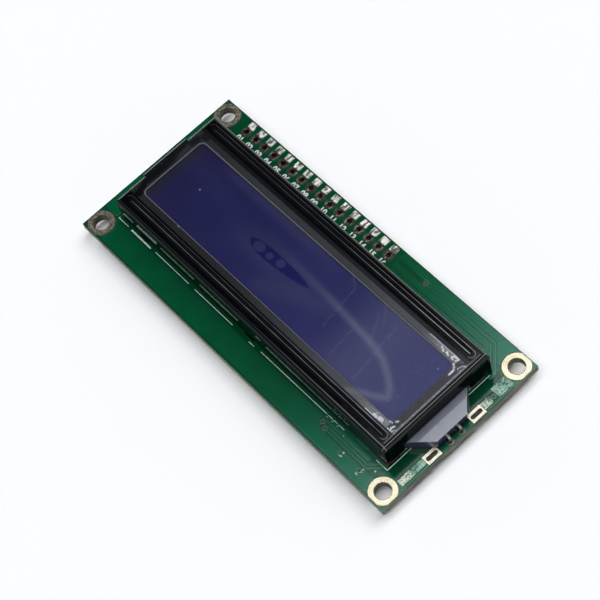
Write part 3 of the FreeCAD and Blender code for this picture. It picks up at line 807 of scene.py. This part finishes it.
def face_sheen(finish):
    """How much the flat face round the film lights up: most at the lamp end."""
    near = along(finish, "X", -5, 30)
    header_side = along(finish, "Y", -8, 8, 0.0, 0.3)
    flat = combine(finish, facing_up(finish, 0.975, 0.995), along(finish, "Z", 6.6, 6.75))
    beside_film = combine(finish, along(finish, "Y", 8.95, 8.7), along(finish, "Y", -9.5, -9.2))
    return combine(finish, combine(finish, near, header_side, "ADD"), combine(finish, flat, beside_film))


def groove_light(finish, near_end):
    """Light in the bottom of a groove: on the header side it grows towards the lamp end."""
    header_light = combine(finish, ramp(finish, near_end, 0, 1, 0.08, 0.72), along(finish, "Y", -1, 1))
    plain_light = along(finish, "Y", -1, 1, 0.22, 0.0)
    return combine(finish, header_light, plain_light, "ADD")


def rim_light(finish, near_end):
    """Light on each groove's slope that faces away from the header, and all round its lamp end."""
    plain_slope = along(finish, "Y", -GROOVE_Y - GROOVE_MIDDLE_BLEND, -GROOVE_Y + GROOVE_MIDDLE_BLEND)
    plain_slope = combine(finish, plain_slope, along(finish, "Y", 1, 0))
    header_slope = along(finish, "Y", GROOVE_Y - GROOVE_MIDDLE_BLEND, GROOVE_Y + GROOVE_MIDDLE_BLEND)
    lit_slope = combine(finish, plain_slope, header_slope, "ADD")
    lit_slope = combine(finish, lit_slope, along(finish, "X", *GROOVE_END), "MAXIMUM")
    return combine(finish, lit_slope, ramp(finish, near_end, 0.1, 1, 0.14, 0.66))


def dull_share(finish):
    """Where the lacquer mirrors little: the bend of the plain side, and the walls at the lamp end."""
    plain_bend = combine(finish, along(finish, "Y", -11.45, -11.6), along(finish, "Z", 5.6, 6.2))
    lamp_walls = combine(finish, along(finish, "X", 4, 20), along(finish, "Z", 6.2, 5.8))
    return combine(finish, plain_bend, lamp_walls, "MAXIMUM")


def land_reflection_share(finish):
    """Painted reflection of the mounting land: a pinkish-brown patch at the foot of one corner by the
    lamp.
    """
    foot = combine(finish, along(finish, "Z", 2.2, 0.9), along(finish, "X", 34.6, 35.0))
    foot = combine(finish, foot, along(finish, "Y", -10.7, -11.3))
    return combine(finish, foot, ramp(finish, noise(finish, 0.9, 2), 0.45, 0.55))


def lacquer_finish():
    """Black lacquer with painted highlights where it bends: along the grooves, the window and the lamp
    end, and a painted sheen on its face.
    """
    finish = new_finish("black_lacquer", tint(4, 6, 9), 0.07)
    worn = ramp(finish, noise(finish, 1.8, 4), 0.55, 0.75)
    black = two_tone(finish, worn, tint(3, 5, 8), tint(7, 9, 12))
    colour = two_tone(finish, face_sheen(finish), black, tint(40, 42, 47))

    near_end = along(finish, "X", *LIGHT_RISE)
    uneven = ramp(finish, noise(finish, 3.0, 2), 0.35, 0.6, 0.55, 1.0)
    in_groove = combine(finish, uneven, groove_light(finish, near_end))
    on_rim = combine(finish, uneven, rim_light(finish, near_end))
    on_plain_bend = ramp(finish, combine(finish, near_end, 1.5, "POWER"), 0, 1, 0.05, 0.8)
    groove_middle = outline_distance(finish, GROOVE_Y, *GROOVE_HALF, GROOVE_HALF[1])
    groove_rim = outline_distance(finish, GROOVE_Y, *GROOVE_RIM_HALF, GROOVE_RIM_HALF[1])
    plain_bend = combine(finish, axis(finish, "Y"), PLAIN_BEND_Y * MM, "SUBTRACT")
    window_rim = outline_distance(finish, WINDOW_Y, *WINDOW_HALF, WINDOW_CORNER)
    lamp_bend = combine(finish, axis(finish, "X"), LAMP_BEND_X * MM, "SUBTRACT")
    on_top = along(finish, "Z", *TOP_FROM)
    # Painted highlights: light lines in the lacquer's colour along the grooves, their rims, the plain
    # side's bend, the window's rim and the lamp end's bend
    for distance, half_width, light, shine in (
            (groove_middle, 0.075, in_groove, tint(170, 174, 176)),
            (groove_rim, 0.09, on_rim, tint(150, 152, 154)),
            (plain_bend, 0.13, on_plain_bend, tint(120, 122, 126)),
            (window_rim, 0.12, 0.75, tint(112, 114, 122)),
            (lamp_bend, 0.09, 0.8, tint(130, 132, 134))):
        line = combine(finish, line_share(finish, distance, half_width), light)
        colour = two_tone(finish, combine(finish, line, on_top), colour, shine)

    # Painted reflection of the mounting land at the wall's foot by the lamp, in pinkish brown
    feed(finish, "Base Color", two_tone(finish, land_reflection_share(finish), colour, tint(104, 62, 58)))
    feed(finish, "Specular IOR Level", ramp(finish, dull_share(finish), 0, 1, 0.32, 0.08))
    feed(finish, "Roughness", ramp(finish, noise(finish, 0.9, 3), 0.3, 0.7, 0.05, 0.1))
    relief(finish, noise(finish, 0.9, 2), 0.002)
    return finish


dress(lacquer_finish(), "bezel")


# Protective film
# A thin clear film stuck on the bezel's face over the window. It hazes the black under it,
# clings to the polariser in one almond-shaped patch, and is crinkled near the lamp end.
# Part of the film's haze is painted light: it grows towards the lamp end and along the long fold, and the
# creases carry painted glints
FILM_STEP = 0.25
FINE_STEP = 0.12
FILM_THICKNESS = 0.03
FACE_TOP = 6.81
FILM_ENDS = (-34.55, 34.15)
FILM_SIDES = (-8.85, 8.1)
WINDOW_ENDS = (-32.4, 32.4)
WINDOW_SIDES = (-7.45, 6.75)
SAG = 0.012
WAVE_HEIGHT = 0.03
CRINKLE_HEIGHT = 0.022
MIRROR_SHINE = 0.008
FOLD_REACH = 1.6
SCRATCH_REACH = 0.16
CREASES_FROM = 20
LAMP_BAND = (32.3, 32.6)
LAMP_EDGE = (33.85, 34.0)

# The almond patch, and the bubbles in it with their places, half lengths and half widths
cling_outline = [
    (-11.0, -0.42), (-10.3, 0.03), (-9.1, 0.5), (-6.6, 0.68), (-3.0, 0.72), (0.3, 0.59),
    (2.1, 0.43), (3.5, 0.11), (4.16, -0.21), (3.5, -0.47), (1.7, -0.89), (0.3, -1.12),
    (-2.6, -1.47), (-5.1, -1.71), (-8.0, -1.71), (-9.9, -1.27)]
bubbles = ((-8.4, -0.55, 1.3, 0.95), (-5.65, -0.6, 0.7, 0.68), (-3.1, -0.3, 0.9, 0.82))

# The long soft fold, whose haze is partly a painted reflection, the scratches, and the specks of dust with
# their places and radii
fold = [
    (-8.0, 1.9), (0.0, 1.35), (4.0, 1.15), (10.0, 0.85), (15.0, 0.4), (20.0, 0.0), (23.2, -0.75),
    (25.7, -2.1), (27.9, -3.7), (28.7, -5.0), (27.1, -6.2), (24.6, -7.5), (22.9, -8.7)]
scratches = (
    ((7.3, 7.2), (10.4, 4.7)), ((16.6, 4.7), (19.6, -0.9)), ((16.2, 6.6), (18.4, 4.0)),
    ((20.5, 5.0), (22.1, -6.8)), ((15.2, -0.3), (15.9, -6.4)), ((10.0, 4.7), (11.1, -3.5)),
    ((29.3, -3.6), (30.9, -3.8)), ((30.5, -5.6), (31.0, -6.0)))
specks = (
    (-25.0, -0.2, 0.2), (-22.2, -7.7, 0.2), (32.95, 2.0, 0.2), (32.9, -3.0, 0.16),
    (32.9, -5.6, 0.14), (31.0, 4.3, 0.14))

# Each bright crease has its half width, its light and its line
creases = (
    (0.36, 0.95, ((29.25, -8.6), (29.8, -8.65))),
    (0.46, 0.95, ((30.45, -8.4), (30.85, -8.35))),
    (0.1, 0.9, ((27.4, -8.8), (29.0, -8.8))),
    (0.12, 0.8, ((32.0, -7.62), (32.6, -7.5))),
    (0.16, 0.9, ((32.85, -6.95), (33.1, -6.65))),
    (0.2, 0.95, ((33.3, -7.75), (33.05, -8.25), (33.2, -8.5))),
    (0.11, 0.9, ((32.6, -8.75), (33.65, -8.7), (33.7, -8.2))),
    (0.18, 0.95, ((28.5, 7.65), (28.9, 7.5), (29.35, 7.2))),
    (0.18, 0.95, ((29.95, 7.5), (30.45, 7.2))),
    (0.2, 0.95, ((31.5, 7.2), (31.15, 7.4), (31.35, 7.85), (32.35, 7.8), (32.1, 7.3))),
    (0.17, 0.95, ((32.2, 6.8), (32.75, 6.35), (33.05, 5.9))),
    (0.2, 0.95, ((33.05, 5.9), (33.1, 4.8))),
    (0.12, 0.55, ((33.35, 6.5), (33.6, 7.4), (33.95, 7.7))),
    (0.1, 0.7, ((25.5, 8.0), (32.5, 8.0))))

# Spots where the film is pressed flat and looks clear, with half lengths and half widths
clear_spots = (
    (-33.7, -2.5, 0.9, 4.6), (-34.3, 2.5, 0.6, 3.0), (-32.6, 7.7, 1.0, 0.75),
    (-33.4, 5.9, 0.7, 1.4), (-32.8, -8.2, 0.8, 0.9), (-33.2, -7.0, 0.6, 1.0))


def smooth_step(value, low, high):
    """0 below low and 1 above high, with a soft step between them."""
    share = min(max((value - low) / (high - low), 0), 1)
    return share * share * (3 - 2 * share)


def line_distance(x, y, start, end):
    """Distance in millimetres from a point to a straight line between two others."""
    across = (end[0] - start[0], end[1] - start[1])
    share = ((x - start[0]) * across[0] + (y - start[1]) * across[1]) / (across[0] ** 2 + across[1] ** 2)
    share = min(max(share, 0), 1)
    return math.hypot(x - start[0] - share * across[0], y - start[1] - share * across[1])


def outline_depth(x, y, outline):
    """Distance to a closed outline, positive inside it."""
    inside = False
    nearest = math.inf
    for start, end in zip(outline, outline[1:] + outline[:1]):
        nearest = min(nearest, line_distance(x, y, start, end))
        if (start[1] > y) != (end[1] > y):
            crossing = start[0] + (y - start[1]) * (end[0] - start[0]) / (end[1] - start[1])
            inside = inside != (x < crossing)
    return nearest if inside else -nearest


def ellipse_share(x, y, spot, softness):
    """1 inside an ellipse and 0 outside it, with a soft rim."""
    reach = math.hypot((x - spot[0]) / spot[2], (y - spot[1]) / spot[3])
    return 1 - smooth_step(reach, 1 - softness, 1 + softness)


def window_depth(x, y):
    """How far a point lies inside the window, in millimetres."""
    return min(x - WINDOW_ENDS[0], WINDOW_ENDS[1] - x, y - WINDOW_SIDES[0], WINDOW_SIDES[1] - y)


def crinkle_share(x, y):
    """Where the film is crinkled: both corners at the lamp end."""
    upper = smooth_step(x, 27.0, 28.4) * smooth_step(y, 6.8, 7.1)
    upper = max(upper, smooth_step(x, 32.5, 32.8) * smooth_step(y, 4.4, 5.4))
    lower = smooth_step(x, 28.4, 29.2) * smooth_step(-y, 7.6, 7.9)
    lower = max(lower, smooth_step(x, 32.5, 32.8) * smooth_step(-y, 6.2, 6.8))
    return max(upper, lower)


def crease_share(x, y):
    """How much light a crease throws back at one place."""
    share = 0.0
    for half_width, level, points in creases:
        distance = min(line_distance(x, y, start, end) for start, end in zip(points, points[1:]))
        share = max(share, level * (1 - smooth_step(distance, half_width * 0.55, half_width)))
    return share


def cling_share(x, y):
    """Where the film lies wet on the polariser: the almond patch less its bubbles."""
    share = smooth_step(outline_depth(x, y, cling_outline), -0.1, 0.1)
    for bubble in bubbles:
        share *= 1 - ellipse_share(x, y, bubble, 0.1)
    return share


def fold_distance(x, y):
    return min(line_distance(x, y, start, end) for start, end in zip(fold, fold[1:]))


def window_haze_and_painted_light(x):
    """Milky share of the film where it hangs free over the window, with painted light that rises towards
    the lamp end, most of all from 10 mm on.
    """
    haze_and_painted_light = 0.011 + 0.01 * smooth_step(x, -20.0, 30.0)
    return haze_and_painted_light + 0.034 * smooth_step(x, 10.0, 21.0) * (1 - 0.25 * smooth_step(x, 22.0, 27.0))


def face_haze_and_painted_light(x):
    """Milky share of the film where it sticks to the bezel's black face, with painted light that rises
    towards the lamp end, most of all from 23 mm on.
    """
    haze_and_painted_light = 0.018 + 0.026 * smooth_step(x, -20.0, 30.0)
    return haze_and_painted_light + 0.02 * smooth_step(x, 8.0, 22.0) + 0.13 * smooth_step(x, 23.0, 30.0)


def smears(x, y, depth, waves):
    """Faint cloudy patches: along the header side, round the almond patch and slantwise beside it."""
    upper = smooth_step(y, 4.2, 5.8) * smooth_step(x, -28.0, -20.0) * (1 - smooth_step(x, -4.0, 8.0))
    round_patch = ellipse_share(x, y, (-4.5, -0.5, 9.0, 3.0), 0.45)
    slant = 1 - smooth_step(line_distance(x, y, (-3.0, -5.5), (9.0, -0.5)), 0.0, 3.0)
    slant *= smooth_step(depth, -0.2, 0.4)
    return 0.01 * upper + 0.005 * max(waves, 0) + 0.007 * round_patch + 0.01 * slant


def marks(x, y):
    """Haze of the long fold, which is partly a painted reflection and grows towards the lamp end, of the
    scratches and of the specks of dust.
    """
    band = 1 - smooth_step(fold_distance(x, y), 0.0, FOLD_REACH)
    haze_and_painted_light = 0.06 * band * band * smooth_step(x, -8.0, 20.0)
    for start, end in scratches:
        haze_and_painted_light += 0.035 * (1 - smooth_step(line_distance(x, y, start, end), 0.0, SCRATCH_REACH))
    for speck_x, speck_y, radius in specks:
        haze_and_painted_light += 0.25 * ellipse_share(x, y, (speck_x, speck_y, radius, radius * 0.7), 0.4)
    return haze_and_painted_light


def clear_share(x, y, depth):
    """Where the film looks clear: pressed flat, wet on the polariser, or along the window's edge."""
    clear = max(ellipse_share(x, y, spot, 0.25) for spot in clear_spots)
    window_edge = smooth_step(depth, -0.35, -0.25) * (1 - smooth_step(depth, -0.02, 0.06))
    window_edge *= smooth_step(x, -28.0, -20.0)
    return max(clear, cling_share(x, y), 0.75 * window_edge)


def film_shape(x, y):
    """Height of the film's underside, and its shares of mirror shine and milky haze, at one place."""
    depth = window_depth(x, y)
    crinkle = crinkle_share(x, y)
    ridges = ripple.noise(Vector((x * 0.8, y * 1.3, 4.0)))
    ridges += 0.5 * ripple.noise(Vector((x * 2.6, y * 2.6, 9.0)))
    waves = ripple.noise(Vector((x * 0.09, y * 0.2, 1.0)))
    height = FACE_TOP - SAG * smooth_step(depth, 0.0, 2.4)
    height += WAVE_HEIGHT * waves * smooth_step(depth, 0.4, 3.0)
    height += CRINKLE_HEIGHT * crinkle * max(min(ridges, 1), -0.4)

    # Part of this haze is painted light: it rises towards the lamp end, and the creases near the lamp end
    # add painted glints
    haze_and_painted_light = window_haze_and_painted_light(x) if depth > 0 else face_haze_and_painted_light(x)
    haze_and_painted_light += smears(x, y, depth, waves) + marks(x, y)
    clear = clear_share(x, y, depth)
    lamp_band = smooth_step(x, *LAMP_BAND)
    haze_and_painted_light *= (1 - 0.88 * clear) * (1 - 0.9 * lamp_band)
    shine = MIRROR_SHINE * (1 - 0.9 * clear) * (1 - 0.85 * lamp_band)
    if x > CREASES_FROM:
        haze_and_painted_light += (0.9 - haze_and_painted_light) * crease_share(x, y)
    shine += 0.04 * crinkle * smooth_step(ridges, -0.05, 0.25)
    haze_and_painted_light += 0.3 * smooth_step(x, *LAMP_EDGE) * (0.7 + 0.5 * ridges)
    return height, shine, max(haze_and_painted_light, 0.001)


def grid_lines(*stops):
    """Places of grid lines between stops, close together in every other stretch."""
    lines = []
    for number, (low, high) in enumerate(zip(stops, stops[1:])):
        count = round((high - low) / (FINE_STEP if number % 2 else FILM_STEP))
        lines += [low + (high - low) * i / count for i in range(count)]
    return lines + [stops[-1]]


def stretched_film():
    """The film as a fine grid with an upper and a lower face, finest where it has marks."""
    columns = grid_lines(FILM_ENDS[0], -11.5, 4.6, 27.0, FILM_ENDS[1])
    rows = grid_lines(FILM_SIDES[0], FILM_SIDES[0], -7.2, -1.9, 0.9, 6.6, FILM_SIDES[1])
    corners = []
    strengths = []
    milky_and_painted_light = []
    for x in columns:
        for y in rows:
            height, shine, haze_and_painted_light = film_shape(x, y)
            corners.append((x * MM, y * MM, (height + FILM_THICKNESS) * MM))
            strengths.append((shine + haze_and_painted_light) / 2)
            milky_and_painted_light.append(haze_and_painted_light / (shine + haze_and_painted_light))
    upper_count = len(corners)
    corners += [(x, y, z - FILM_THICKNESS * MM) for x, y, z in corners]
    column_count = len(columns) - 1
    row_count = len(rows) - 1
    faces = []
    for face in grid_faces(column_count, row_count):
        faces += [face, tuple(upper_count + corner for corner in face[::-1])]
    rim = [i * (row_count + 1) for i in range(column_count + 1)]
    rim += [column_count * (row_count + 1) + j for j in range(1, row_count + 1)]
    rim += [i * (row_count + 1) + row_count for i in range(column_count - 1, -1, -1)]
    rim += [j for j in range(row_count - 1, 0, -1)]
    for a, b in zip(rim, rim[1:] + rim[:1]):
        faces.append((b, a, upper_count + a, upper_count + b))
    mesh = smooth_mesh("protective_film", corners, faces)
    mesh.attributes.new("strength", "FLOAT", "POINT").data.foreach_set("value", strengths * 2)
    mesh.attributes.new("milky_and_painted_light", "FLOAT", "POINT").data.foreach_set("value", milky_and_painted_light * 2)
    return mesh


def film_finish():
    finish = new_finish("protective_film", tint(240, 244, 250), 0.08)
    strength = add_node(finish, "ShaderNodeAttribute", attribute_name="strength").outputs["Fac"]
    milky_and_painted_light = add_node(finish, "ShaderNodeAttribute", attribute_name="milky_and_painted_light").outputs["Fac"]
    mottle = ramp(finish, noise(finish, 0.6, 3), 0.3, 0.7, 0.96, 1.04)
    feed(finish, "Alpha", combine(finish, strength, mottle))
    feed(finish, "Metallic", combine(finish, 1.0, milky_and_painted_light, "SUBTRACT"))
    return finish


film = mesh_piece(stretched_film(), "stretched_protective_film", film_finish())
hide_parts("protective_film")


# Resin domes and chips behind the board
# Black epoxy is dropped over the two bare chips and sets as a low dome. The small resistors
# and capacitors are ceramic with tinned ends.
DOME_SIDES = 72
DOME_LEVELS = 14
DOME_SLOPE = 2.4
EDGE_WOBBLE = 0.015


def epoxy_finish():
    finish = new_finish("black_epoxy", tint(14, 14, 15), 0.35)
    relief(finish, noise(finish, 2.5, 3), 0.06)
    return finish


def poured_dome(name, finish):
    """A drop of resin that has run out to a slightly uneven edge and set."""
    low, high = (tuple(value / MM for value in corner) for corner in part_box(name))
    middle = ((low[0] + high[0]) / 2, (low[1] + high[1]) / 2)
    radius = (high[0] - low[0]) / 2
    points = [(middle[0] * MM, middle[1] * MM, low[2] * MM)]
    for level in range(1, DOME_LEVELS + 1):
        share = level / DOME_LEVELS
        rise = (high[2] - low[2]) * math.sqrt(max(1 - share ** DOME_SLOPE, 0))
        for side in range(DOME_SIDES):
            turn = 2 * math.pi * side / DOME_SIDES
            wobble = ripple.noise(Vector((math.cos(turn) * 1.2, math.sin(turn) * 1.2, middle[0])))
            reach = radius * share * (1 - EDGE_WOBBLE + EDGE_WOBBLE * wobble * share)
            x = middle[0] + reach * math.cos(turn)
            y = middle[1] + reach * math.sin(turn)
            points.append((x * MM, y * MM, (high[2] - rise) * MM))
    faces = [(0, 1 + (side + 1) % DOME_SIDES, 1 + side) for side in range(DOME_SIDES)]
    for level in range(DOME_LEVELS - 1):
        for side in range(DOME_SIDES):
            a = 1 + level * DOME_SIDES + side
            b = 1 + level * DOME_SIDES + (side + 1) % DOME_SIDES
            faces.append((a, b, b + DOME_SIDES, a + DOME_SIDES))
    faces.append(tuple(1 + (DOME_LEVELS - 1) * DOME_SIDES + side for side in range(DOME_SIDES)))
    mesh = smooth_mesh(name, points, faces)
    mesh.polygons[len(faces) - 1].use_smooth = False
    dome = mesh_piece(mesh, "poured_" + name, finish)
    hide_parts(name)


def ceramic_finish(name, dark, light):
    finish = new_finish(name, dark, 0.5)
    specks = ramp(finish, noise(finish, 0.25, 3), 0.35, 0.65)
    feed(finish, "Base Color", two_tone(finish, specks, dark, light))
    return finish


epoxy = epoxy_finish()
for name in ("controller_dome", "driver_dome"):
    poured_dome(name, epoxy)
dress(ceramic_finish("resistor_coat", tint(20, 20, 24), tint(34, 34, 40)), "resistor_bodies")
dress(ceramic_finish("capacitor_ceramic", tint(150, 118, 84), tint(176, 142, 104)), "capacitor_bodies")
dress(pad_tin, "resistor_caps", "capacitor_caps")


# Floor, light and camera
# The display lies on a plain pale floor under the soft light of a studio, and the camera looks
# down on its lamp end.
FLOOR_Z = cad_bounds[0][2]
FLOOR_REACH = 2.0
floor_signs = ((-1, -1), (1, -1), (1, 1), (-1, 1))
floor_corners = [(x * FLOOR_REACH, y * FLOOR_REACH, FLOOR_Z) for x, y in floor_signs]
floor_mesh = bpy.data.meshes.new("floor")
floor_mesh.from_pydata(floor_corners, [], [(0, 1, 2, 3)])
floor_mesh.materials.append(new_finish("pale_floor", tint(250, 250, 250), 0.95, Specular_IOR_Level=0.0))
floor = add_object("floor", floor_mesh)


# The room is dim overhead and paler towards its walls, and one long soft light hangs across
# the table. Its nodes are made in the same way as a finish's.
room = bpy.data.worlds.new("studio")
room.use_nodes = True
seen_from_table = add_node(room, "ShaderNodeTexCoord").outputs["Generated"]
direction = add_node(room, "ShaderNodeSeparateXYZ", {"Vector": seen_from_table})


def room_ramp(letter, start, end, low=0.0, high=1.0):
    """A level that changes softly along one axis of the direction in which the room is seen."""
    level = ramp(room, direction.outputs[letter], start, end, low, high)
    level.node.interpolation_type = "SMOOTHSTEP"
    return level


walls = room_ramp("Z", 0.15, 0.6, 0.62, 0.03)
soft_side = combine(room, room_ramp("X", -0.4, -0.32), 2.0, "POWER")
long_light = combine(room, soft_side, room_ramp("X", 0.31, 0.24))
for edges in ((-0.62, -0.5), (0.85, 0.75)):
    long_light = combine(room, long_light, room_ramp("Y", *edges))
long_light = combine(room, long_light, room_ramp("Z", 0.0, 0.1, 0.0, 3.5))
background = room.node_tree.nodes["Background"]
background.inputs["Color"].default_value = tint(250, 252, 255)
wire(room, combine(room, walls, long_light, "ADD"), background.inputs["Strength"])
bpy.context.scene.world = room
bpy.context.scene.view_settings.view_transform = "Standard"

camera_place = Vector((144.492, -67.002, 281.588)) * MM
camera_aim = Vector((1.145, -1.153, 0.0)) * MM
camera_roll = math.radians(-19.8688)
camera_data = bpy.data.cameras.new("camera")
camera_data.sensor_width = 36.0
camera_data.lens = 111.3225
camera_data.clip_start = 0.01
camera = add_object("camera", camera_data)
camera.location = camera_place
camera.rotation_mode = "QUATERNION"
level_view = (camera_aim - camera_place).to_track_quat("-Z", "Y")
camera.rotation_quaternion = level_view @ Quaternion((0, 0, 1), camera_roll)
bpy.context.scene.camera = camera
